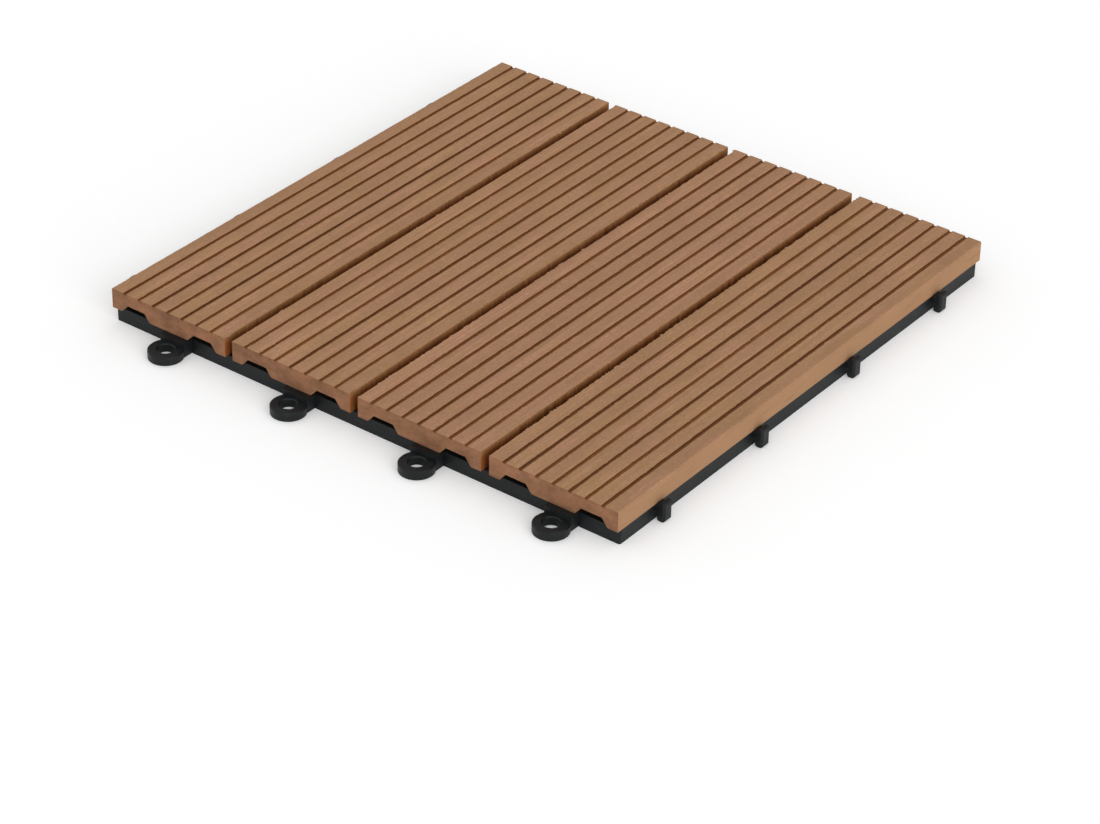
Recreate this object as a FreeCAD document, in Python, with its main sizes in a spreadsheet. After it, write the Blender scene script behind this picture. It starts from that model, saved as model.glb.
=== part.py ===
import FreeCAD, Part
import math
import os
import Sketcher

# Interlocking deck tile: four extruded wood-plastic slats screwed down on one moulded plastic
# grid, which carries ring loops on two neighbouring sides and pegs on the two others.
# Millimetres. X runs across the slats and Y along them. The origin is on the ground under the
# middle of the tile, at the bottom of the middle foot.

doc = FreeCAD.newDocument("deck_tile")

# Driving dimensions

DIMENSIONS = [
    ("slat_length", 300.0),
    ("slat_width", 71.6),
    ("slat_gap", 4.5),
    ("slat_height", 10.7),
    ("slat_edge_radius", 0.8),
    ("slat_foot_radius", 0.3),
    ("groove_pitch", 9.1),
    ("groove_mouth", 2.0),
    ("groove_floor", 1.6),
    ("groove_depth", 0.8),
    ("channel_centre", 21.0),
    ("channel_mouth", 18.0),
    ("channel_roof", 11.6),
    ("channel_height", 4.1),
    ("pilot_diameter", 3.5),
    ("pilot_depth", 7.0),
    ("base_height", 7.8),
    ("wall_thickness", 2.4),
    ("side_overhang", 0.4),
    ("end_overhang", 2.2),
    ("corner_radius", 1.2),
    ("rib_thickness", 1.8),
    ("rib_clearance", 1.5),
    ("boss_width", 13.0),
    ("foot_width", 8.0),
    ("head_pocket_width", 9.0),
    ("head_pocket_depth", 4.6),
    ("shank_hole_diameter", 3.9),
    ("interlock_shift", 5.4),
    ("interlock_root", 147.3),
    ("ground_gap", 0.3),
    ("loop_reach", 158.0),
    ("loop_diameter", 17.4),
    ("loop_hole_diameter", 8.0),
    ("loop_height", 4.4),
    ("loop_lead_in", 0.6),
    ("loop_edge", 0.5),
    ("neck_reach", 153.4),
    ("neck_width", 15.0),
    ("peg_reach", 155.3),
    ("peg_width", 6.2),
    ("peg_stem", 2.7),
    ("peg_barb", 4.0),
    ("peg_barb_height", 4.2),
    ("peg_arm", 3.0),
    ("peg_top", 9.6),
    ("peg_bevel", 0.6),
    ("peg_side_bevel", 1.0),
    ("screw_head_diameter", 7.0),
    ("screw_head_height", 2.0),
    ("screw_length", 10.0),
    ("recess_width", 0.9),
    ("recess_span", 3.6),
    ("recess_depth", 1.2),
]

sizes = doc.addObject("Spreadsheet::Sheet", "sizes")
for row, (alias, value) in enumerate(DIMENSIONS, start=1):
    sizes.set(f"A{row}", alias)
    sizes.set(f"B{row}", str(value))
    sizes.setAlias(f"B{row}", alias)
doc.recompute()

# Sizes that follow from the driving ones

PITCH = "(sizes.slat_width + sizes.slat_gap)"
FRAME_X = f"(4 * {PITCH} - sizes.slat_gap - 2 * sizes.side_overhang)"
FRAME_Y = "(sizes.slat_length - 2 * sizes.end_overhang)"
FIRST_ROW = f"(-1.5 * {PITCH})"
SCREW_ROW = f"(-4 * {PITCH} / 3)"
SLAT_COUNT = 4


# Sketching

def sketch(body, name, role, lift=None, shift=None):
    """A sketch on an origin plane, lifted along its normal and shifted along its first axis."""
    plane = next(item for item in body.Origin.OriginFeatures if item.Role == role)
    item = body.newObject("Sketcher::SketchObject", name)
    item.AttachmentSupport = [(plane, "")]
    item.MapMode = "FlatFace"
    if lift:
        item.setExpression("AttachmentOffset.Base.z", lift)
    if shift:
        item.setExpression("AttachmentOffset.Base.x", shift)
    return item


def place(item, geometry, point, x, y):
    """Hold a point at signed distances from the sketch's origin."""
    for kind, expression in (("DistanceX", x), ("DistanceY", y)):
        index = item.addConstraint(Sketcher.Constraint(kind, -1, 1, geometry, point, 1.0))
        item.setExpression(f"Constraints[{index}]", expression)


def outline(item, points):
    """A closed loop of straight lines through points given as pairs of expressions."""
    count = len(points)
    first = item.GeometryCount
    turns = [2 * math.pi * index / count for index in range(count)]
    rough = [FreeCAD.Vector(10 * math.cos(turn), 10 * math.sin(turn), 0) for turn in turns]
    for index in range(count):
        following = (index + 1) % count
        item.addGeometry(Part.LineSegment(rough[index], rough[following]), False)
    for index in range(count):
        following = (index + 1) % count
        item.addConstraint(
            Sketcher.Constraint("Coincident", first + index, 2, first + following, 1)
        )
    for index, (x, y) in enumerate(points):
        place(item, first + index, 1, x, y)


def rectangle(item, left, right, bottom, top):
    """A rectangle between four expressions."""
    outline(item, [(left, bottom), (right, bottom), (right, top), (left, top)])


def square(item, x, y, width):
    """A square round a point."""
    half = f"{width} / 2"
    rectangle(item, f"{x} - {half}", f"{x} + {half}", f"{y} - {half}", f"{y} + {half}")


def disc(item, x, y, diameter):
    """A circle round a point."""
    up = FreeCAD.Vector(0, 0, 1)
    index = item.addGeometry(Part.Circle(FreeCAD.Vector(1, 1, 0), up, 2.0), False)
    constraint = item.addConstraint(Sketcher.Constraint("Diameter", index, 4.0))
    item.setExpression(f"Constraints[{constraint}]", diameter)
    place(item, index, 3, x, y)


# Solid features

def pad(body, name, profile, length, midplane=False):
    """Add material along the sketch's normal, or to both of its sides."""
    feature = body.newObject("PartDesign::Pad", name)
    feature.Profile = profile
    feature.setExpression("Length", length)
    if midplane:
        feature.SideType = "Symmetric"
    return feature


def pocket(body, name, profile, length, upward=False, midplane=False):
    """Cut a sketch away, down into the body unless it is turned upward."""
    feature = body.newObject("PartDesign::Pocket", name)
    feature.Profile = profile
    feature.setExpression("Length", length)
    feature.Reversed = upward
    if midplane:
        feature.SideType = "Symmetric"
    return feature


def revolve(body, name, profile):
    """Turn a section once about its sketch's upright axis."""
    feature = body.newObject("PartDesign::Revolution", name)
    feature.Profile = profile
    feature.ReferenceAxis = (profile, ["V_Axis"])
    feature.Angle = 360
    return feature


def repeat_line(body, name, axis, span, count, originals=None):
    """Copies of features, or a step of a repeat of both kinds, along a sketch's axis."""
    feature = body.newObject("PartDesign::LinearPattern", name)
    feature.Direction = axis
    feature.setExpression("Length", span)
    feature.Occurrences = count
    if originals:
        feature.Originals = originals
        body.Tip = feature
    return feature


def repeat_turn(body, name, axis, angle, count, backwards=False):
    """Copies of features turned about a sketch's normal."""
    feature = body.newObject("PartDesign::PolarPattern", name)
    feature.Axis = axis
    feature.Angle = angle
    feature.Occurrences = count
    feature.Reversed = backwards
    return feature


def repeat_both(body, name, originals, steps):
    """Several repeats, one after the other, of the same features."""
    feature = body.newObject("PartDesign::MultiTransform", name)
    feature.Originals = originals
    feature.Transformations = steps
    body.Tip = feature
    return feature


def edges_where(feature, test):
    """Names of a feature's edges that pass a test."""
    return [f"Edge{index}" for index, edge in enumerate(feature.Shape.Edges, 1) if test(edge)]


def dress(body, kind, name, base, edges, size_name, size):
    """A fillet or chamfer on named edges."""
    feature = body.newObject(kind, name)
    feature.Base = (base, edges)
    feature.setExpression(size_name, size)
    return feature


def merge_faces_last(body):
    """Split faces are merged once, in a body's last feature."""
    for item in body.Group:
        if hasattr(item, "Refine"):
            item.Refine = item == body.Tip


def is_along(edge, direction):
    """Whether an edge is a straight line along a direction."""
    if not isinstance(edge.Curve, Part.Line):
        return False
    return abs(abs(edge.Curve.Direction.dot(direction)) - 1) < 1e-6


# The moulded base grid

def make_frame(body):
    """Wall round the tile with softened corners."""
    profile = sketch(body, "frame_sketch", "XY_Plane")
    wall = "sizes.wall_thickness"
    rectangle(profile, f"-{FRAME_X} / 2", f"{FRAME_X} / 2", f"-{FRAME_Y} / 2", f"{FRAME_Y} / 2")
    rectangle(
        profile,
        f"-{FRAME_X} / 2 + {wall}",
        f"{FRAME_X} / 2 - {wall}",
        f"-{FRAME_Y} / 2 + {wall}",
        f"{FRAME_Y} / 2 - {wall}",
    )
    frame = pad(body, "frame_wall", profile, "sizes.base_height")
    doc.recompute()
    half = frame.Shape.BoundBox.XMax - 0.1

    def is_outer_corner(edge):
        upright = is_along(edge, FreeCAD.Vector(0, 0, 1))
        return upright and abs(edge.Vertexes[0].X) > half

    corners = edges_where(frame, is_outer_corner)
    dress(body, "PartDesign::Fillet", "frame_corners", frame, corners, "Radius",
          "sizes.corner_radius")
    return profile


def make_lattice(body, axes):
    """Ribs both ways: three to a slat across it, and one under each slat and each gap."""
    height = "sizes.base_height - sizes.rib_clearance"
    thick = "sizes.rib_thickness"
    across = sketch(body, "cross_rib_sketch", "XY_Plane", "sizes.rib_clearance")
    first_y = f"-5.5 * {PITCH} / 3"
    rectangle(
        across,
        f"-{FRAME_X} / 2 + 1",
        f"{FRAME_X} / 2 - 1",
        f"{first_y} - {thick} / 2",
        f"{first_y} + {thick} / 2",
    )
    cross_rib = pad(body, "cross_rib", across, height)
    repeat_line(body, "cross_ribs", (axes, ["V_Axis"]), f"11 * {PITCH} / 3", 12, [cross_rib])

    along = sketch(body, "long_rib_sketch", "XY_Plane", "sizes.rib_clearance")
    rectangle(
        along,
        f"{FIRST_ROW} - {thick} / 2",
        f"{FIRST_ROW} + {thick} / 2",
        f"-{FRAME_Y} / 2 + 1",
        f"{FRAME_Y} / 2 - 1",
    )
    long_rib = pad(body, "long_rib", along, height)
    repeat_line(body, "long_ribs", (axes, ["H_Axis"]), f"3 * {PITCH}", 7, [long_rib])


def make_posts(body, axes):
    """Screw bosses under the slats' middles, and plain feet under the gaps."""
    boss_sketch = sketch(body, "boss_sketch", "XY_Plane")
    square(boss_sketch, FIRST_ROW, SCREW_ROW, "sizes.boss_width")
    boss = pad(body, "boss", boss_sketch, "sizes.base_height")
    steps = [
        repeat_line(body, "boss_columns", (axes, ["H_Axis"]), f"3 * {PITCH}", 4),
        repeat_line(body, "boss_rows", (axes, ["V_Axis"]), f"-2 * {SCREW_ROW}", 2),
    ]
    repeat_both(body, "bosses", [boss], steps)

    foot_sketch = sketch(body, "foot_sketch", "XY_Plane")
    square(foot_sketch, f"-{PITCH}", f"-{PITCH}", "sizes.foot_width")
    foot = pad(body, "foot", foot_sketch, "sizes.base_height")
    steps = [
        repeat_line(body, "foot_columns", (axes, ["H_Axis"]), f"2 * {PITCH}", 3),
        repeat_line(body, "foot_rows", (axes, ["V_Axis"]), f"2 * {PITCH}", 3),
    ]
    repeat_both(body, "feet", [foot], steps)


def make_screw_holes(body, axes):
    """A pocket for the head from below and a through hole in every boss."""
    pocket_sketch = sketch(body, "head_pocket_sketch", "XY_Plane")
    square(pocket_sketch, FIRST_ROW, SCREW_ROW, "sizes.head_pocket_width")
    head = pocket(body, "head_pocket", pocket_sketch, "sizes.head_pocket_depth", upward=True)

    hole_sketch = sketch(body, "shank_hole_sketch", "XY_Plane")
    disc(hole_sketch, FIRST_ROW, SCREW_ROW, "sizes.shank_hole_diameter")
    hole = pocket(body, "shank_hole", hole_sketch, "sizes.base_height", upward=True)
    steps = [
        repeat_line(body, "hole_columns", (axes, ["H_Axis"]), f"3 * {PITCH}", 4),
        repeat_line(body, "hole_rows", (axes, ["V_Axis"]), f"-2 * {SCREW_ROW}", 2),
    ]
    repeat_both(body, "screw_holes", [head, hole], steps)


def make_loops(body, axes):
    """Ring loops in front of the slats' ends, and the same a quarter turn back."""
    centre_x = f"({FIRST_ROW} + sizes.interlock_shift)"
    neck_sketch = sketch(body, "neck_sketch", "XY_Plane", "sizes.ground_gap")
    rectangle(
        neck_sketch,
        f"{centre_x} - sizes.neck_width / 2",
        f"{centre_x} + sizes.neck_width / 2",
        "-sizes.neck_reach",
        "-sizes.interlock_root",
    )
    neck = pad(body, "neck", neck_sketch, "sizes.base_height - sizes.ground_gap")

    # The ring's section, softened on top and funnelled at the hole, turned about its own axis
    ring_sketch = sketch(body, "ring_sketch", "XZ_Plane", "sizes.loop_reach", centre_x)
    inner = "sizes.loop_hole_diameter / 2"
    outer = "sizes.loop_diameter / 2"
    low = "sizes.ground_gap"
    high = "(sizes.ground_gap + sizes.loop_height)"
    outline(
        ring_sketch,
        [
            (inner, low),
            (outer, low),
            (outer, f"{high} - sizes.loop_edge"),
            (f"{outer} - sizes.loop_edge", high),
            (f"{inner} + sizes.loop_lead_in", high),
            (inner, f"{high} - sizes.loop_lead_in"),
        ],
    )
    ring = revolve(body, "ring", ring_sketch)

    steps = [
        repeat_line(body, "loop_row", (axes, ["H_Axis"]), f"3 * {PITCH}", 4),
        repeat_turn(body, "loop_sides", (axes, ["N_Axis"]), 90, 2, backwards=True),
    ]
    repeat_both(body, "loops", [neck, ring], steps)


def make_pegs(body, axes):
    """Hooked pegs beside the last slat, and the same a quarter turn on."""
    reach = "sizes.peg_reach"
    ground = "sizes.ground_gap"
    top = "sizes.peg_top"
    bevel = "sizes.peg_bevel"
    stem = f"{reach} - sizes.peg_stem"
    barb = f"{reach} - sizes.peg_barb"
    barb_top = f"{ground} + sizes.peg_barb_height"
    arm_bottom = "sizes.base_height - sizes.peg_arm"
    distance = f"-{FIRST_ROW} + sizes.interlock_shift"
    profile = sketch(body, "peg_sketch", "XZ_Plane", distance)
    outline(
        profile,
        [
            ("sizes.interlock_root", arm_bottom),
            (stem, arm_bottom),
            (stem, barb_top),
            (barb, f"{barb_top} - (sizes.peg_barb - sizes.peg_stem)"),
            (barb, f"{ground} + 1.5 * {bevel}"),
            (f"{barb} + 1.5 * {bevel}", ground),
            (f"{reach} - {bevel}", ground),
            (reach, f"{ground} + {bevel}"),
            (reach, f"{top} - {bevel}"),
            (f"{reach} - {bevel}", top),
            (stem, top),
            (stem, "sizes.base_height"),
            ("sizes.interlock_root", "sizes.base_height"),
        ],
    )
    peg = pad(body, "peg", profile, "sizes.peg_width", midplane=True)
    steps = [
        repeat_line(body, "peg_row", (axes, ["V_Axis"]), f"3 * {PITCH}", 4),
        repeat_turn(body, "peg_sides", (axes, ["N_Axis"]), 90, 2),
    ]
    pegs = repeat_both(body, "pegs", [peg], steps)
    doc.recompute()

    # Upright corners of every peg's outer face are cut off
    face = pegs.Shape.BoundBox.XMax

    def is_face_edge(edge):
        point = edge.Vertexes[0]
        upright = is_along(edge, FreeCAD.Vector(0, 0, 1))
        return upright and max(point.X, point.Y) > face - 1e-3

    corners = edges_where(pegs, is_face_edge)
    dress(body, "PartDesign::Chamfer", "peg_corners", pegs, corners, "Size", "sizes.peg_side_bevel")


def make_base_grid():
    """The whole moulding."""
    body = doc.addObject("PartDesign::Body", "base_grid")
    body.Label = "base_grid"
    axes = make_frame(body)
    make_loops(body, axes)
    make_pegs(body, axes)
    make_posts(body, axes)
    make_lattice(body, axes)
    make_screw_holes(body, axes)
    merge_faces_last(body)
    return body


# The slats

def make_slat(number):
    """One extruded slat, lying on the grid."""
    label = f"slat_{number}"
    body = doc.addObject("PartDesign::Body", label)
    body.Label = label
    half = "sizes.slat_width / 2"
    high = "sizes.slat_height"
    roof = "sizes.channel_height"
    mouth = "sizes.channel_mouth / 2"
    ceiling = "sizes.channel_roof / 2"
    centre = "sizes.channel_centre"
    section = sketch(body, f"{label}_section", "XZ_Plane")
    outline(
        section,
        [
            (f"-{half}", "0"),
            (f"-{centre} - {mouth}", "0"),
            (f"-{centre} - {ceiling}", roof),
            (f"-{centre} + {ceiling}", roof),
            (f"-{centre} + {mouth}", "0"),
            (f"{centre} - {mouth}", "0"),
            (f"{centre} - {ceiling}", roof),
            (f"{centre} + {ceiling}", roof),
            (f"{centre} + {mouth}", "0"),
            (half, "0"),
            (half, high),
            (f"-{half}", high),
        ],
    )
    plank = pad(body, f"{label}_plank", section, "sizes.slat_length", midplane=True)
    doc.recompute()

    # Long outer edges: rounded on top, barely broken underneath
    box = plank.Shape.BoundBox

    def is_outer(edge, level):
        point = edge.Vertexes[0]
        along = is_along(edge, FreeCAD.Vector(0, 1, 0))
        return along and abs(abs(point.X) - box.XMax) < 1e-3 and abs(point.Z - level) < 1e-3

    upper = edges_where(plank, lambda edge: is_outer(edge, box.ZMax))
    rounded = dress(body, "PartDesign::Fillet", f"{label}_top_edges", plank, upper, "Radius",
                    "sizes.slat_edge_radius")
    doc.recompute()
    lower = edges_where(rounded, lambda edge: is_outer(edge, 0))
    dress(body, "PartDesign::Fillet", f"{label}_foot_edges", rounded, lower, "Radius",
          "sizes.slat_foot_radius")

    # Anti-slip grooves along the whole top
    groove_sketch = sketch(body, f"{label}_groove_sketch", "XZ_Plane")
    start = "-3 * sizes.groove_pitch"
    outline(
        groove_sketch,
        [
            (f"{start} - sizes.groove_mouth / 2", high),
            (f"{start} - sizes.groove_floor / 2", f"{high} - sizes.groove_depth"),
            (f"{start} + sizes.groove_floor / 2", f"{high} - sizes.groove_depth"),
            (f"{start} + sizes.groove_mouth / 2", high),
        ],
    )
    groove = pocket(body, f"{label}_groove", groove_sketch, "sizes.slat_length", midplane=True)
    repeat_line(body, f"{label}_grooves", (groove_sketch, ["H_Axis"]),
                "6 * sizes.groove_pitch", 7, [groove])

    # Pilot holes for the screws that come up through the bosses
    hole_sketch = sketch(body, f"{label}_pilot_sketch", "XY_Plane")
    disc(hole_sketch, "0", SCREW_ROW, "sizes.pilot_diameter")
    hole = pocket(body, f"{label}_pilot", hole_sketch, "sizes.pilot_depth", upward=True)
    span = f"-2 * {SCREW_ROW}"
    repeat_line(body, f"{label}_pilots", (hole_sketch, ["V_Axis"]), span, 2, [hole])

    body.setExpression("Placement.Base.x", f"{FIRST_ROW} + {number - 1} * {PITCH}")
    body.setExpression("Placement.Base.z", "sizes.base_height")
    return body


# The screws

def make_screws():
    """Eight cheese-head screws with a cross recess, pointing up into the slats."""
    body = doc.addObject("PartDesign::Body", "slat_screws")
    body.Label = "slat_screws"
    body.AllowCompound = True
    head = "sizes.screw_head_diameter / 2"
    shank = "sizes.pilot_diameter / 2"
    drop = "-sizes.screw_head_height"
    length = "sizes.screw_length"
    section = sketch(body, "screw_section", "XZ_Plane", f"-{SCREW_ROW}", FIRST_ROW)
    outline(
        section,
        [("0", drop), (head, drop), (head, "0"), (shank, "0"), (shank, length), ("0", length)],
    )
    blank = revolve(body, "screw_blank", section)

    cross = sketch(body, "recess_sketch", "XY_Plane", drop)
    wide = "sizes.recess_width / 2"
    long = "sizes.recess_span / 2"
    corners = [
        (wide, long), (wide, wide), (long, wide),
        (long, f"-{wide}"), (wide, f"-{wide}"), (wide, f"-{long}"),
        (f"-{wide}", f"-{long}"), (f"-{wide}", f"-{wide}"), (f"-{long}", f"-{wide}"),
        (f"-{long}", wide), (f"-{wide}", wide), (f"-{wide}", long),
    ]
    outline(cross, [(f"{FIRST_ROW} + ({x})", f"{SCREW_ROW} + ({y})") for x, y in corners])
    recess = pocket(body, "recess", cross, "sizes.recess_depth", upward=True)

    steps = [
        repeat_line(body, "screw_columns", (cross, ["H_Axis"]), f"3 * {PITCH}", 4),
        repeat_line(body, "screw_rows", (cross, ["V_Axis"]), f"-2 * {SCREW_ROW}", 2),
    ]
    repeat_both(body, "screws", [blank, recess], steps)
    body.setExpression("Placement.Base.z", "sizes.head_pocket_depth")
    return body


# Build, test and write

nodes = [make_slat(number) for number in range(1, SLAT_COUNT + 1)]
nodes.append(make_screws())
nodes.append(make_base_grid())
doc.recompute()

for item in doc.Objects:
    if "Invalid" in item.State or "Error" in item.State:
        raise RuntimeError(f"{item.Name} failed: {item.State}")

os.makedirs("parts", exist_ok=True)
for body in nodes:
    shape = body.Shape
    if shape.isNull() or not shape.isValid():
        raise RuntimeError(f"{body.Label} has no valid shape")

for body in nodes:
    body.Shape.exportStep(f"parts/{body.Label}.step")
    box = body.Shape.BoundBox
    print(
        body.Label,
        len(body.Shape.Solids),
        f"{body.Shape.Volume:.0f} mm3",
        f"x {box.XMin:.2f} {box.XMax:.2f} y {box.YMin:.2f} {box.YMax:.2f}",
        f"z {box.ZMin:.2f} {box.ZMax:.2f}",
    )
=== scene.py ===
import math

import bpy
import numpy as np
from bpy.props import FloatProperty, FloatVectorProperty, IntProperty, PointerProperty
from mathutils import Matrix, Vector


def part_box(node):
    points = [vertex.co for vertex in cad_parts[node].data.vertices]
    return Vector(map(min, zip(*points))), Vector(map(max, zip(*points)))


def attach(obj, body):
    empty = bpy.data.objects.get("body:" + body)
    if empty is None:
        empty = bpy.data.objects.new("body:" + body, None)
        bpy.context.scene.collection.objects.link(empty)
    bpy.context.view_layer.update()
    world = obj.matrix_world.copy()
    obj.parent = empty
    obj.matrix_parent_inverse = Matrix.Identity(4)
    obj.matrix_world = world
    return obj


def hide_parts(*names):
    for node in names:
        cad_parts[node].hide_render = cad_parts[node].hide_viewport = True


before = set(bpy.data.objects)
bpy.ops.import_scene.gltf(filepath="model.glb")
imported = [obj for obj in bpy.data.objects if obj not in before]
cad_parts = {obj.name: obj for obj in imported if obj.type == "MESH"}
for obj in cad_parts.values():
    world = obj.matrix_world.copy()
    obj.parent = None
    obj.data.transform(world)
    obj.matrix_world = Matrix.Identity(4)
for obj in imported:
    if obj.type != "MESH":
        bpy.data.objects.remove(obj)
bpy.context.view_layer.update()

bl_info = {
    "name": "Deck tile dresser",
    "version": (1, 0, 0),
    "blender": (4, 5, 0),
    "location": "3D View > Sidebar > Deck tile",
    "description": "Dresses a clip-together deck tile: grooved slats, moulded grid, screws and stage",
    "category": "Object",
}

MM = 0.001
SLAT_NODES = [name for name in sorted(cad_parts) if name.startswith("slat_") and name[5:].isdigit()]
SLAT_LOW, SLAT_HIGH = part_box(SLAT_NODES[0])
# The slats are cut from different extrusions, and the third is pinker than the others
SLAT_TONES = (-0.015, 0.0, 0.17, -0.03)
FIRST_SEED = 11

# Points in each round of a slat's section, and the angle in degrees from which an edge is sharp
FOOT_STEPS, ROOF_STEPS, LIP_STEPS, EDGE_STEPS = 5, 4, 4, 9
SHARP_ANGLE = 32
# Mask values partway down a groove's walls, drawn darker than its bottom, and at its left lip,
# drawn darker in the gap walls' colour; and how far down partway is
WALL_MASK, LEFT_LIP_MASK, WALL_DEPTH = 0.8, 0.16, 0.6
# The tile's two open edges are torn a quarter as much as those at a gap
OPEN_TEAR = 0.25
# Millimetres below the top over which a side turns from brushed to skin, and over which the painted
# shade on a gap's wall deepens
SIDE_FADE = (0.5, 2.4)
GAP_FADE = (0.3, 3.8)
# A lip's stray in parts of the lip wander: the same all along, from station to station, and smooth
OWN_STRAY, FINE_STRAY, SMOOTH_STRAY = 0.5, 0.45, 0.6
# Spread and reach of the smooth stray in stations, and how much rougher a slat's long edges are
SMOOTH_SPREAD, SMOOTH_REACH, EDGE_ROUGHNESS = 2.4, 6, 2.0
# Chance of a torn fibre at a station, and the least length of one in parts of the burr size
BURR_CHANCE, LEAST_BURR = 0.010, 0.3

# The camera stands where the photograph's did, solved from the slats' corners; turns in degrees
CAMERA_PLACE = (0.8862, -1.1840, 0.8962)
CAMERA_TURN = (56.9437, -1.5306, 36.5283)
CAMERA_SHIFT = (-0.06157, 0.00018)
# The key shines more on the long side at the right than on the sawn ends; in degrees
KEY_TILT, KEY_HEADING, KEY_SPREAD = 70, 68, 40


def linear(code):
    """Linear red, green and blue of an sRGB hex colour."""
    value = np.array([int(code[k:k + 2], 16) for k in (1, 3, 5)]) / 255
    curve = np.where(value <= 0.04045, value / 12.92, ((value + 0.055) / 1.055) ** 2.4)
    return tuple(float(v) for v in curve)


def length(name, about, millimetres):
    """A size property in Blender's own length unit."""
    return FloatProperty(name=name, description=about, default=millimetres * MM, min=0.0, precision=4,
                         unit="LENGTH")


def colour(name, about, code):
    """A colour property that starts from an sRGB hex value."""
    return FloatVectorProperty(name=name, description=about, default=linear(code), size=3, min=0.0,
                               max=1.0, subtype="COLOR")


# Sizes and colours a user may change

class SlatSettings(bpy.types.PropertyGroup):
    """Section and finish of the grooved slats."""
    edge_radius: length("Top edge radius", "Round along the long top edges at a gap", 0.4)
    open_radius: length("Outer edge radius", "Round along the tile's two long outer top edges", 0.8)
    foot_radius: length("Lower edge radius", "Round along the long lower edges", 0.3)
    groove_pitch: length("Groove pitch", "Distance between neighbouring grooves", 9.1)
    groove_mouth: length("Groove mouth", "Width of a groove at the top", 2.0)
    groove_floor: length("Groove floor", "Width of a groove at its bottom", 1.6)
    groove_depth: length("Groove depth", "Depth of a groove", 0.8)
    lip_radius: length("Groove lip", "Round on both lips of a groove", 0.14)
    lip_wander: length("Lip wander", "How far the brushed lips stray from a straight line", 0.11)
    burr_size: length("Burr size", "How far a torn fibre stands out over a groove", 0.45)
    edge_tear: FloatProperty(name="Edge tear", description="Roughness of an edge at a gap against a lip",
                             default=2.2, min=0.0)
    channel_centre: length("Channel centre", "From a slat's middle to an underside channel", 21.0)
    channel_mouth: length("Channel mouth", "Width of an underside channel at the bottom", 18.0)
    channel_roof: length("Channel roof", "Width of an underside channel at its top", 11.6)
    channel_height: length("Channel height", "Height of an underside channel", 4.1)
    channel_round: length("Channel round", "Round where a channel meets the slat's underside", 0.5)
    saw_arris: length("Saw-cut arris", "Softened edge round the sawn ends", 0.1)
    station: length("Station spacing", "Distance between sections along a slat", 0.7)
    # Mask value that gives the sides facing the next slat their painted shade
    gap_shade: FloatProperty(name="Gap shelter", description="Darkness of the sides that face a slat",
                               default=0.2, min=0.0, max=1.0)
    grooves: IntProperty(name="Grooves", description="Grooves on one slat", default=7, min=1, max=15)
    brushed: colour("Brushed top", "Walking surface", "#AC8460")
    blush: colour("Blush", "Pinker patches of the walking surface", "#B4856C")
    skin: colour("Extruded skin", "Unbrushed long sides", "#A88160")
    # The groove walls are drawn darker than the groove bottoms
    groove: colour("Groove", "Unbrushed groove walls", "#5E3518")
    # Painted shade on the sides that face the next slat, deeper and redder lower down in the gap
    gap_shade_top: colour("Gap wall, top", "Sides that face the next slat", "#946A46")
    gap_shade_deep: colour("Gap wall, lower", "The same sides lower down", "#90552A")
    bed: colour("Groove bottom", "Bottoms of the grooves, where some flour lies", "#7A4E2E")
    sawn: colour("Sawn end", "Cut ends", "#8B5F44")
    fibre: colour("Pale fibre", "Single wood fibres on the brushed top", "#BC9876")


class GridSettings(bpy.types.PropertyGroup):
    """Finish of the moulded grid and its screws."""
    moulded: colour("Moulded plastic", "Black grid", "#131617")
    worn: colour("Rubbed plastic", "Faintly paler patches of the grid", "#1E2426")
    steel: colour("Plated steel", "Screws", "#B4B5B0")
    texture: length("Mould texture", "Size of the mould's fine grain", 0.5)


class StageSettings(bpy.types.PropertyGroup):
    """Floor, light and camera."""
    floor_size: FloatProperty(name="Floor size", description="Side of the square floor", default=14.0,
                              min=1.0, unit="LENGTH")
    floor: colour("Floor", "Plain pale floor", "#F7F7F7")
    room_light: FloatProperty(name="Room light", description="Even white light from all round",
                              default=0.74, min=0.0)
    key_light: FloatProperty(name="Key light", description="Soft light from the front right",
                             default=0.37, min=0.0)
    lens: FloatProperty(name="Lens", description="Focal length on a 36 mm wide frame, in millimetres",
                        default=116.3, min=10.0)


# Surfaces

def bend(start, corner, end, steps):
    """Points of (1-t)^2 start + 2t(1-t) corner + t^2 end, a soft turn from start to end."""
    t = np.linspace(0.0, 1.0, steps)[:, None]
    start, corner, end = (np.array(p, float) for p in (start, corner, end))
    return (1 - t) ** 2 * start + 2 * t * (1 - t) * corner + t ** 2 * end


def turn_at(before, corner, after, radius, steps):
    """A corner of a polygon rounded by a bend that starts and ends one radius away from it."""
    before, corner, after = (np.array(p, float) for p in (before, corner, after))
    back = (before - corner) / np.linalg.norm(before - corner)
    ahead = (after - corner) / np.linalg.norm(after - corner)
    return bend(corner + radius * back, corner, corner + radius * ahead, steps)


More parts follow.
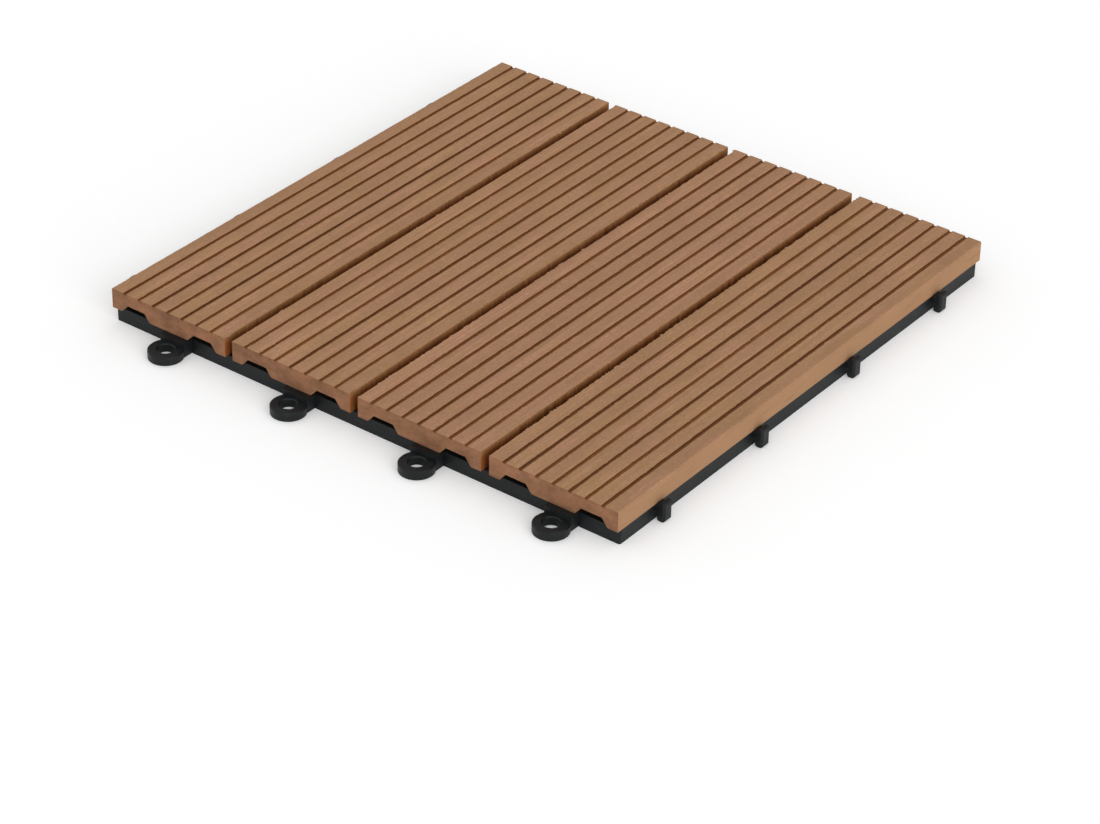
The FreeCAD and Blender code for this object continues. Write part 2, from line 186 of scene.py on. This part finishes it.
def slat_section(s, gap_left, gap_right):
    """The slat's closed section, anticlockwise seen from its front end.

    Returns the points (x, z), a mask value for each, from 0 in the open to 1 at the bottom of a
    groove, the number of the lip or outer edge each belongs to, and its share of that one's sideways
    stray, signed towards the air. A side that faces the next slat takes its gap's value, which gives
    it painted shade.
    """
    half = (SLAT_HIGH[0] - SLAT_LOW[0]) / 2
    high = SLAT_HIGH[2] - SLAT_LOW[2]
    rows = []

    def put(points, depth=0.0, lip=0, share=0.0):
        points = np.atleast_2d(points)
        depth = np.broadcast_to(depth, len(points))
        share = np.broadcast_to(share, len(points))
        rows.append(np.column_stack([points, depth, np.full(len(points), lip), share]))

    # Underside, from left to right, with its two channels
    put(turn_at((-half, high), (-half, 0), (half, 0), s.foot_radius, FOOT_STEPS), gap_left)
    for centre in (-s.channel_centre, s.channel_centre):
        foot_l, foot_r = centre - s.channel_mouth / 2, centre + s.channel_mouth / 2
        roof_l, roof_r = centre - s.channel_roof / 2, centre + s.channel_roof / 2
        top = s.channel_height
        put(turn_at((-half, 0), (foot_l, 0), (roof_l, top), s.channel_round, FOOT_STEPS))
        put(turn_at((foot_l, 0), (roof_l, top), (roof_r, top), s.channel_round / 2, ROOF_STEPS))
        put(turn_at((roof_l, top), (roof_r, top), (foot_r, 0), s.channel_round / 2, ROOF_STEPS))
        put(turn_at((roof_r, top), (foot_r, 0), (half, 0), s.channel_round, FOOT_STEPS))
    put(turn_at((-half, 0), (half, 0), (half, high), s.foot_radius, FOOT_STEPS), gap_right)
    outer = 2 * s.grooves
    arch = s.edge_tear * np.sin(np.linspace(0.0, math.pi, EDGE_STEPS))
    fade = np.linspace(1.0, 0.0, EDGE_STEPS)
    radius = s.edge_radius if gap_right else s.open_radius
    edge = turn_at((half, 0), (half, high), (-half, high), radius, EDGE_STEPS)
    # At a gap the side's painted shade fades out over the round to the top
    put(edge, gap_right * fade, outer, arch if gap_right else OPEN_TEAR * arch)

    # Top, from right to left: every groove has a right lip, a floor and a left lip
    first = (s.grooves - 1) / 2
    floor_z = high - s.groove_depth
    ease = np.array([0.0, 0.5, 1.0, 1.0])
    mouth, floor = s.groove_mouth / 2, s.groove_floor / 2
    wall, wall_z = (mouth + 2 * floor) / 3, high - WALL_DEPTH * s.groove_depth
    for number in range(s.grooves):
        middle = (first - number) * s.groove_pitch
        right, left = 2 * number, 2 * number + 1
        lip = turn_at((half, high), (middle + mouth, high), (middle + floor, floor_z), s.lip_radius,
                      LIP_STEPS)
        put(lip, 0.0, right, -ease)
        put((middle + wall, wall_z), WALL_MASK, right, -0.5)
        put((middle + floor, floor_z), 1.0)
        put((middle - floor, floor_z), 1.0)
        put((middle - wall, wall_z), WALL_MASK, left, 0.5)
        # A groove's left lip is drawn darker, in the colour of the gap walls' painted shade
        lip = turn_at((middle - floor, floor_z), (middle - mouth, high), (-half, high), s.lip_radius,
                      LIP_STEPS)
        put(lip, LEFT_LIP_MASK * ease[::-1], left, ease[::-1])
    radius = s.edge_radius if gap_left else s.open_radius
    edge = turn_at((half, high), (-half, high), (-half, 0), radius, EDGE_STEPS)
    # At a gap the side's painted shade fades out over the round from the top
    put(edge, gap_left * fade[::-1] ** 4, outer + 1, -arch if gap_left else -OPEN_TEAR * arch)
    table = np.concatenate(rows)
    return table[:, :2], table[:, 2], table[:, 3].astype(int), table[:, 4]


def inset(points, distance):
    """A closed section moved inwards by a distance along its own normals."""
    ahead = np.roll(points, -1, axis=0) - points
    behind = points - np.roll(points, 1, axis=0)
    ahead, behind = (v / np.linalg.norm(v, axis=1)[:, None] for v in (ahead, behind))
    along = ahead + behind
    along /= np.linalg.norm(along, axis=1)[:, None]
    return points + distance * np.column_stack([-along[:, 1], along[:, 0]])


def lip_strays(s, lips, stations, rng):
    """Sideways stray of every lip and outer edge: its own offset, noise both fine and smooth, burrs."""
    reach = np.arange(-SMOOTH_REACH, SMOOTH_REACH + 1)
    kernel = np.exp(-0.5 * (reach / SMOOTH_SPREAD) ** 2)
    kernel /= np.sqrt((kernel ** 2).sum())
    noise = rng.standard_normal((lips, stations + 2 * SMOOTH_REACH))
    smooth = np.stack([np.convolve(row, kernel, mode="valid") for row in noise])
    torn = rng.random((lips, stations)) < BURR_CHANCE
    burrs = torn * rng.uniform(LEAST_BURR, 1.0, (lips, stations))
    spread = burrs + 0.5 * (np.roll(burrs, 1, axis=1) + np.roll(burrs, -1, axis=1))
    fine = FINE_STRAY * rng.standard_normal((lips, stations))
    fine[-2:] *= EDGE_ROUGHNESS
    own = OWN_STRAY * rng.standard_normal((lips, 1))
    wander = s.lip_wander * (own + fine + SMOOTH_STRAY * smooth)
    strays = wander + s.burr_size * np.minimum(spread, 1.0)
    strays[:, :2] = strays[:, -2:] = 0.0
    return strays


def slat_mesh(node, s, seed, gap_left, gap_right, tone):
    """Mesh of one slat: the section x(u), z(u) carried along y(v), with its lips strayed by v.

    Point (u, v) = (x0 + x(u) + share(u) * stray(lip(u), v), y(v), z0 + z(u)); the first and the last
    section are inset, which softens the sawn arris, and closed by one face each.
    """
    low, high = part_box(node)
    section, groove_and_shade_values, lip, share = slat_section(s, gap_left, gap_right)
    count = int(round((high[1] - low[1]) / s.station)) + 1
    inner = np.linspace(low[1] + s.saw_arris, high[1] - s.saw_arris, count)
    along = np.concatenate([[low[1]], inner, [high[1]]])
    strays = lip_strays(s, 2 * s.grooves + 2, len(along), np.random.default_rng(seed))

    x = section[None, :, 0] + share[None, :] * strays[lip].T
    z = np.broadcast_to(section[None, :, 1], x.shape).copy()
    for end in (0, -1):
        ring = inset(np.column_stack([x[end], z[end]]), s.saw_arris)
        x[end], z[end] = ring[:, 0], ring[:, 1]
    y = np.broadcast_to(along[:, None], x.shape)
    middle = (low[0] + high[0]) / 2
    points = np.stack([x + middle, y, z + low[2]], axis=-1).reshape(-1, 3)

    stations, around = x.shape
    index = np.arange(stations * around).reshape(stations, around)
    here, beside = index, np.roll(index, -1, axis=1)
    walls = np.stack([here[:-1], here[1:], beside[1:], beside[:-1]], axis=-1).reshape(-1, 4)
    faces = walls.tolist() + [index[0].tolist(), index[-1][::-1].tolist()]

    mesh = bpy.data.meshes.new(f"{node}_brushed")
    mesh.from_pydata(points.tolist(), [], faces)
    slots = np.zeros(len(faces), dtype=np.int32)
    slots[-2:] = 1
    mesh.polygons.foreach_set("material_index", slots)
    mesh.polygons.foreach_set("use_smooth", np.ones(len(faces), dtype=bool))
    mesh.set_sharp_from_angle(angle=math.radians(SHARP_ANGLE))
    # The mask carries the grooves and the painted shade on the sides at a gap
    groove_and_shade = mesh.attributes.new("groove_and_shade", "FLOAT", "POINT")
    groove_and_shade.data.foreach_set("value", np.tile(groove_and_shade_values, stations).astype(np.float32))
    pinkness = mesh.attributes.new("pinkness", "FLOAT", "POINT")
    pinkness.data.foreach_set("value", np.full(stations * around, tone, dtype=np.float32))
    mesh.validate()
    return mesh


# Materials

# Inputs of a Mix node on colours, and its settings for mixing and for multiplying
FACTOR, FIRST, SECOND = 0, 6, 7
MIX = {"data_type": "RGBA"}
TINT = {"data_type": "RGBA", "blend_type": "MULTIPLY"}
# The part of its range that a noise mostly fills
MIDDLE = {"From Min": 0.3, "From Max": 0.7}


def add(tree, kind, inputs=None, **settings):
    """One node with its settings; an input that is given a node or an output is linked to it.

    A node stands for its first output in use, and a colour is given without its alpha.
    """
    node = tree.nodes.new(kind)
    for name, value in settings.items():
        setattr(node, name, value)
    for key, value in (inputs or {}).items():
        if isinstance(value, bpy.types.Node):
            value = next(output for output in value.outputs if output.enabled)
        if isinstance(value, bpy.types.NodeSocket):
            tree.links.new(value, node.inputs[key])
        elif node.inputs[key].type == "RGBA":
            node.inputs[key].default_value = (*value, 1.0)
        else:
            node.inputs[key].default_value = value
    return node


def scaled(factor, base):
    """A colour made darker or lighter by one factor."""
    return [factor * v for v in base]


def new_material(name, patterns=()):
    """A node material with nothing in it but noise patterns on object coordinates, by name.

    Each pattern has a name, its grain's three sizes in millimetres, its detail and its roughness.
    """
    material = bpy.data.materials.new(name)
    material.use_nodes = True
    tree = material.node_tree
    tree.nodes.clear()
    noise = {}
    for key, size, detail, roughness in patterns:
        place = add(tree, "ShaderNodeTexCoord").outputs["Object"]
        grain = add(tree, "ShaderNodeMapping", {"Vector": place, "Scale": [1 / (MM * v) for v in size]})
        noise[key] = add(tree, "ShaderNodeTexNoise",
                         {"Vector": grain, "Scale": 1.0, "Detail": detail, "Roughness": roughness})
    return material, tree, noise


def brushed_top(tree, s, noise):
    """Colour of the walking surface: soft pinker patches, flour, brush lines and pale fibres."""
    pinkness = add(tree, "ShaderNodeAttribute", attribute_name="pinkness").outputs["Fac"]
    pinker = add(tree, "ShaderNodeMath", {0: noise["patches"], 1: pinkness}, operation="ADD")
    blushed = add(tree, "ShaderNodeMapRange", {"Value": pinker, **MIDDLE})
    top = add(tree, "ShaderNodeMix", {FACTOR: blushed, FIRST: s.brushed, SECOND: s.blush}, **MIX)
    for key, low, high in (("cloud", 0.85, 1.15), ("flour", 0.81, 1.16), ("run", 0.91, 1.09)):
        shade = add(tree, "ShaderNodeMapRange",
                    {"Value": noise[key], **MIDDLE, "To Min": low, "To Max": high})
        top = add(tree, "ShaderNodeMix", {FACTOR: 1.0, FIRST: top, SECOND: shade}, **TINT)
    between = add(tree, "ShaderNodeMapRange", {"Value": noise["lines"], **MIDDLE})
    top = add(tree, "ShaderNodeMix", {FACTOR: between, FIRST: scaled(0.87, s.brushed), SECOND: top}, **MIX)
    pale = add(tree, "ShaderNodeMapRange", {"Value": noise["fibres"], "From Min": 0.76, "From Max": 0.86})
    return add(tree, "ShaderNodeMix", {FACTOR: pale, FIRST: top, SECOND: s.fibre}, **MIX)


def slat_sides(tree, s, noise):
    """Colour of the unbrushed long sides: cloudy skin with faint lines and a few dark scores."""
    cloudy = add(tree, "ShaderNodeMapRange", {"Value": noise["cloud"], **MIDDLE})
    sides = add(tree, "ShaderNodeMix",
                {FACTOR: cloudy, FIRST: scaled(0.95, s.skin), SECOND: scaled(1.05, s.skin)}, **MIX)
    lined = add(tree, "ShaderNodeMapRange",
                {"Value": noise["lines"], "From Min": 0.3, "From Max": 0.9, "To Max": 0.35})
    sides = add(tree, "ShaderNodeMix", {FACTOR: lined, FIRST: sides, SECOND: s.brushed}, **MIX)
    scored = add(tree, "ShaderNodeMapRange",
                 {"Value": noise["scores"], "From Min": 0.63, "From Max": 0.72, "To Max": 0.4})
    return add(tree, "ShaderNodeMix", {FACTOR: scored, FIRST: sides, SECOND: scaled(0.55, s.skin)}, **MIX)


def slat_hollows(tree, s, noise, depth, height):
    """Colour of the grooves, walls darker than bottoms, and of the gap walls, in painted shade deeper lower
    down.
    """
    # The groove walls are drawn darker than the groove bottoms
    floored = add(tree, "ShaderNodeMapRange", {"Value": depth, "From Min": 0.85, "From Max": 1.0})
    groove = add(tree, "ShaderNodeMix", {FACTOR: floored, FIRST: s.groove, SECOND: s.bed}, **MIX)
    for key, low, high in (("run", 0.8, 1.4), ("flour", 0.81, 1.16)):
        shade = add(tree, "ShaderNodeMapRange",
                    {"Value": noise[key], **MIDDLE, "To Min": low, "To Max": high})
        groove = add(tree, "ShaderNodeMix", {FACTOR: 1.0, FIRST: groove, SECOND: shade}, **TINT)
    # Painted shade on the walls of a gap, deeper lower down
    raised = add(tree, "ShaderNodeMapRange",
                 {"Value": height, "From Min": SLAT_HIGH[2] - GAP_FADE[1] * MM,
                  "From Max": SLAT_HIGH[2] - GAP_FADE[0] * MM})
    gap = add(tree, "ShaderNodeMix", {FACTOR: raised, FIRST: s.gap_shade_deep, SECOND: s.gap_shade_top}, **MIX)
    grooved = add(tree, "ShaderNodeMapRange", {"Value": depth, "From Min": 0.2, "From Max": 0.3})
    return add(tree, "ShaderNodeMix", {FACTOR: grooved, FIRST: gap, SECOND: groove}, **MIX)


def brushed_composite(s):
    """Wood-plastic composite, extruded and then wire-brushed along its length.

    Matt and waxy brown, with faint lengthwise brush lines, cloudy patches where the wood flour is
    uneven, and a few pale fibres; the grooves keep the darker extruded skin the brush can't reach.
    The sides that face the next slat carry painted shade.
    """
    material, tree, noise = new_material("wood_plastic_composite_brushed", (
        ("cloud", (12, 45, 12), 4.0, 0.6),
        # Brush lines are about 0.2 mm wide; drawn 0.7 mm wide, the finest that shows
        ("lines", (0.7, 40, 0.7), 2.0, 0.6),
        ("flour", (1.1, 2.2, 1.1), 3.0, 0.65),
        ("fibres", (0.9, 3.0, 0.9), 1.0, 0.5),
        ("patches", (14, 22, 14), 2.0, 0.5),
        ("run", (5, 400, 60), 1.0, 0.5),
        ("scores", (0.8, 20, 0.8), 1.0, 0.5),
    ))
    place = add(tree, "ShaderNodeTexCoord").outputs["Object"]
    height = add(tree, "ShaderNodeSeparateXYZ", {0: place}).outputs["Z"]
    depth = add(tree, "ShaderNodeAttribute", attribute_name="groove_and_shade").outputs["Fac"]

    lowered = add(tree, "ShaderNodeMapRange",
                  {"Value": height, "From Min": SLAT_HIGH[2] - SIDE_FADE[1] * MM,
                   "From Max": SLAT_HIGH[2] - SIDE_FADE[0] * MM, "To Min": 1.0, "To Max": 0.0})
    top, sides = brushed_top(tree, s, noise), slat_sides(tree, s, noise)
    outside = add(tree, "ShaderNodeMix", {FACTOR: lowered, FIRST: top, SECOND: sides}, **MIX)
    hollows = slat_hollows(tree, s, noise, depth, height)
    # Grooves, left lips and the painted shade on the sides at a gap take the hollows' colours
    in_hollows = add(tree, "ShaderNodeMapRange", {"Value": depth, "From Min": 0.0, "From Max": LEFT_LIP_MASK})
    coarse = add(tree, "ShaderNodeBump", {"Height": noise["flour"], "Distance": 0.12 * MM, "Strength": 0.6})
    shader = add(tree, "ShaderNodeBsdfPrincipled", {
        "Base Color": add(tree, "ShaderNodeMix", {FACTOR: in_hollows, FIRST: outside, SECOND: hollows}, **MIX),
        "Roughness": add(tree, "ShaderNodeMapRange",
                         {"Value": noise["lines"], "From Min": 0.2, "From Max": 0.8, "To Min": 0.74,
                          "To Max": 0.86}),
        "Normal": add(tree, "ShaderNodeBump",
                      {"Height": noise["lines"], "Distance": 0.10 * MM, "Strength": 0.6, "Normal": coarse}),
        "Specular IOR Level": 0.08,
    })
    add(tree, "ShaderNodeOutputMaterial", {"Surface": shader})
    return material


def sawn_composite(s):
    """The same composite cut by a saw.

    The blade tears the flour out, so the cut is duller, darker and redder than the brushed top, with
    faint arcs of the blade and small dark pits.
    """
    material, tree, noise = new_material("wood_plastic_composite_sawn", (
        ("cloud", (9, 9, 6), 3.0, 0.6),
        ("grain", (0.9, 0.9, 0.9), 3.0, 0.7),
        ("pits", (1.1, 1.1, 0.9), 1.0, 0.5),
    ))
    # The blade's marks are arcs 3 mm apart, which is 0.314 m over the wave's scale, round a point
    # that stood 90 mm above the ground
    place = add(tree, "ShaderNodeTexCoord").outputs["Object"]
    lowered = add(tree, "ShaderNodeMapping", {"Vector": place, "Location": (0.0, 0.0, -90 * MM)})
    arcs = add(tree, "ShaderNodeTexWave",
               {"Vector": lowered, "Scale": 105.0, "Distortion": 1.2, "Detail": 1.0},
               wave_type="RINGS", rings_direction="Y").outputs["Fac"]

    cloudy = add(tree, "ShaderNodeMapRange", {"Value": noise["cloud"], **MIDDLE})
    base = add(tree, "ShaderNodeMix",
               {FACTOR: cloudy, FIRST: scaled(0.67, s.sawn), SECOND: scaled(1.38, s.sawn)}, **MIX)
    for value, low, high, most, laid in (
        (noise["grain"], 0.3, 0.8, 0.45, s.skin),
        (arcs, 0.0, 1.0, 0.05, s.groove),
        (noise["pits"], 0.72, 0.8, 0.25, scaled(0.7, s.groove)),
    ):
        share = add(tree, "ShaderNodeMapRange",
                    {"Value": value, "From Min": low, "From Max": high, "To Max": most})
        base = add(tree, "ShaderNodeMix", {FACTOR: share, FIRST: base, SECOND: laid}, **MIX)
    shader = add(tree, "ShaderNodeBsdfPrincipled", {
        "Base Color": base,
        "Roughness": add(tree, "ShaderNodeMapRange",
                         {"Value": noise["grain"], "From Min": 0.2, "From Max": 0.8, "To Min": 0.75,
                          "To Max": 0.88}),
        "Normal": add(tree, "ShaderNodeBump",
                      {"Height": noise["grain"], "Distance": 0.15 * MM, "Strength": 0.6}),
        "Specular IOR Level": 0.25,
    })
    add(tree, "ShaderNodeOutputMaterial", {"Surface": shader})
    return material


def moulded_polypropylene(s):
    """Black polypropylene, injection moulded in a lightly spark-eroded tool.

    A satin black with a soft sheen on its edges, faintly paler where the surface has been rubbed.
    """
    material, tree, noise = new_material("polypropylene_moulded_black", (
        ("flow", (22, 22, 9), 3.0, 0.55),
        ("grain", (s.texture / MM,) * 3, 2.0, 0.6),
        ("rubbed", (7, 7, 3), 4.0, 0.7),
    ))
    flowed = add(tree, "ShaderNodeMapRange", {"Value": noise["flow"], **MIDDLE})
    base = add(tree, "ShaderNodeMix",
               {FACTOR: flowed, FIRST: scaled(0.85, s.moulded), SECOND: scaled(1.15, s.moulded)}, **MIX)
    rubbed = add(tree, "ShaderNodeMapRange",
                 {"Value": noise["rubbed"], "From Min": 0.52, "From Max": 0.72, "To Max": 0.8})
    shader = add(tree, "ShaderNodeBsdfPrincipled", {
        "Base Color": add(tree, "ShaderNodeMix", {FACTOR: rubbed, FIRST: base, SECOND: s.worn}, **MIX),
        "Roughness": add(tree, "ShaderNodeMapRange",
                         {"Value": noise["flow"], "From Min": 0.25, "From Max": 0.75, "To Min": 0.44,
                          "To Max": 0.58}),
        "Normal": add(tree, "ShaderNodeBump",
                      {"Height": noise["grain"], "Distance": 0.05 * MM, "Strength": 0.5}),
        "IOR": 1.49,
        "Specular IOR Level": 0.24,
    })
    add(tree, "ShaderNodeOutputMaterial", {"Surface": shader})
    return material


def plated_steel(s):
    """Zinc-plated steel, cold headed.

    A soft grey metal with cloudy plating and fine turning marks.
    """
    material, tree, noise = new_material("steel_zinc_plated", (
        ("cloud", (2.5, 2.5, 2.5), 3.0, 0.6),
        ("turning", (3, 3, 0.25), 2.0, 0.5),
    ))
    cloudy = add(tree, "ShaderNodeMapRange", {"Value": noise["cloud"], **MIDDLE})
    shader = add(tree, "ShaderNodeBsdfPrincipled", {
        "Base Color": add(tree, "ShaderNodeMix",
                          {FACTOR: cloudy, FIRST: scaled(0.82, s.steel), SECOND: s.steel}, **MIX),
        "Roughness": add(tree, "ShaderNodeMapRange",
                         {"Value": noise["cloud"], **MIDDLE, "To Min": 0.26, "To Max": 0.4}),
        "Normal": add(tree, "ShaderNodeBump",
                      {"Height": noise["turning"], "Distance": 0.03 * MM, "Strength": 0.5}),
        "Metallic": 1.0,
    })
    add(tree, "ShaderNodeOutputMaterial", {"Surface": shader})
    return material


def paper_sweep(s):
    """Matt white paper sweep, shown a touch whiter to the camera and in reflections."""
    material, tree, _ = new_material("paper_sweep")
    glow = add(tree, "ShaderNodeMapRange", {"Value": seen(tree), "To Max": 0.2})
    shader = add(tree, "ShaderNodeBsdfPrincipled", {
        "Base Color": s.floor,
        "Roughness": 0.9,
        "Specular IOR Level": 0.1,
        "Emission Color": (1.0, 1.0, 1.0),
        "Emission Strength": glow,
    })
    add(tree, "ShaderNodeOutputMaterial", {"Surface": shader})
    return material


def seen(tree):
    """One for what the camera sees straight, mirrored or through glass."""
    path = add(tree, "ShaderNodeLightPath").outputs
    glossy = add(tree, "ShaderNodeMath", {0: path["Is Camera Ray"], 1: path["Is Glossy Ray"]},
                 operation="MAXIMUM")
    return add(tree, "ShaderNodeMath", {0: glossy, 1: path["Is Transmission Ray"]}, operation="MAXIMUM")


def coat(node, material):
    """A finish on every slot of a CAD node."""
    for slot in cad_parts[node].material_slots:
        slot.material = material


# One operator for each piece or group of like pieces

class DECK_OT_slats(bpy.types.Operator):
    """Make the grooved slats with brushed tops and sawn ends"""
    bl_idname = "deck.slats"
    bl_label = "Grooved slats"

    def execute(self, context):
        s = context.scene.deck_slats
        brushed, sawn = brushed_composite(s), sawn_composite(s)
        for seed, (node, tone) in enumerate(zip(SLAT_NODES, SLAT_TONES), start=FIRST_SEED):
            # Sides that face the next slat get painted shade
            gap_left = 0.0 if node == SLAT_NODES[0] else s.gap_shade
            gap_right = 0.0 if node == SLAT_NODES[-1] else s.gap_shade
            mesh = slat_mesh(node, s, seed, gap_left, gap_right, tone)
            mesh.materials.append(brushed)
            mesh.materials.append(sawn)
            piece = bpy.data.objects.new(f"{node}_brushed", mesh)
            context.scene.collection.objects.link(piece)
            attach(piece, "root")
            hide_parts(node)
        return {"FINISHED"}


class DECK_OT_grid(bpy.types.Operator):
    """Finish the moulded grid with its loops and pegs"""
    bl_idname = "deck.grid"
    bl_label = "Moulded grid"

    def execute(self, context):
        coat("base_grid", moulded_polypropylene(context.scene.deck_grid))
        return {"FINISHED"}


class DECK_OT_screws(bpy.types.Operator):
    """Finish the screws under the grid"""
    bl_idname = "deck.screws"
    bl_label = "Screws"

    def execute(self, context):
        coat("slat_screws", plated_steel(context.scene.deck_grid))
        return {"FINISHED"}


class DECK_OT_stage(bpy.types.Operator):
    """Lay the floor, light the tile and set the camera"""
    bl_idname = "deck.stage"
    bl_label = "Floor, light and camera"

    def execute(self, context):
        s = context.scene.deck_stage
        scene = context.scene
        scene.view_settings.view_transform = "Standard"

        half = s.floor_size / 2
        mesh = bpy.data.meshes.new("floor")
        corners = [(-half, -half, 0), (half, -half, 0), (half, half, 0), (-half, half, 0)]
        mesh.from_pydata(corners, [], [(0, 1, 2, 3)])
        mesh.materials.append(paper_sweep(s))
        floor = bpy.data.objects.new("floor", mesh)
        scene.collection.objects.link(floor)

        world = bpy.data.worlds.new("studio")
        world.use_nodes = True
        tree = world.node_tree
        tree.nodes.clear()
        strength = add(tree, "ShaderNodeMapRange",
                       {"Value": seen(tree), "To Min": s.room_light, "To Max": 1.0})
        sky = add(tree, "ShaderNodeBackground", {"Color": (1.0, 1.0, 1.0), "Strength": strength})
        add(tree, "ShaderNodeOutputWorld", {"Surface": sky})
        scene.world = world

        lamp = bpy.data.lights.new("key", "SUN")
        lamp.energy = s.key_light * math.pi
        lamp.angle = math.radians(KEY_SPREAD)
        key = bpy.data.objects.new("key", lamp)
        key.rotation_euler = (math.radians(KEY_TILT), 0.0, math.radians(KEY_HEADING))
        scene.collection.objects.link(key)

        data = bpy.data.cameras.new("camera")
        data.sensor_width = 36.0
        data.lens = s.lens
        data.shift_x, data.shift_y = CAMERA_SHIFT
        data.clip_start = 0.05
        data.clip_end = 50.0
        camera = bpy.data.objects.new("camera", data)
        camera.location = CAMERA_PLACE
        camera.rotation_euler = [math.radians(v) for v in CAMERA_TURN]
        scene.collection.objects.link(camera)
        scene.camera = camera
        return {"FINISHED"}


class DECK_PT_pieces(bpy.types.Panel):
    """Every piece of the tile, with its sizes and colours"""
    bl_idname = "DECK_PT_pieces"
    bl_label = "Deck tile"
    bl_space_type = "VIEW_3D"
    bl_region_type = "UI"
    bl_category = "Deck tile"

    def draw(self, context):
        for settings, operators in (
            (context.scene.deck_slats, ("deck.slats",)),
            (context.scene.deck_grid, ("deck.grid", "deck.screws")),
            (context.scene.deck_stage, ("deck.stage",)),
        ):
            box = self.layout.box()
            for name in settings.bl_rna.properties.keys():
                if name not in ("rna_type", "name"):
                    box.prop(settings, name)
            for operator in operators:
                box.operator(operator)


CLASSES = (
    SlatSettings,
    GridSettings,
    StageSettings,
    DECK_OT_slats,
    DECK_OT_grid,
    DECK_OT_screws,
    DECK_OT_stage,
    DECK_PT_pieces,
)


def register():
    for item in CLASSES:
        bpy.utils.register_class(item)
    bpy.types.Scene.deck_slats = PointerProperty(type=SlatSettings)
    bpy.types.Scene.deck_grid = PointerProperty(type=GridSettings)
    bpy.types.Scene.deck_stage = PointerProperty(type=StageSettings)


def unregister():
    for name in ("deck_slats", "deck_grid", "deck_stage"):
        delattr(bpy.types.Scene, name)
    for item in reversed(CLASSES):
        bpy.utils.unregister_class(item)


def main():
    """Make every piece in order."""
    register()
    bpy.ops.deck.slats()
    bpy.ops.deck.grid()
    bpy.ops.deck.screws()
    bpy.ops.deck.stage()


if __name__ == "__main__":
    main()
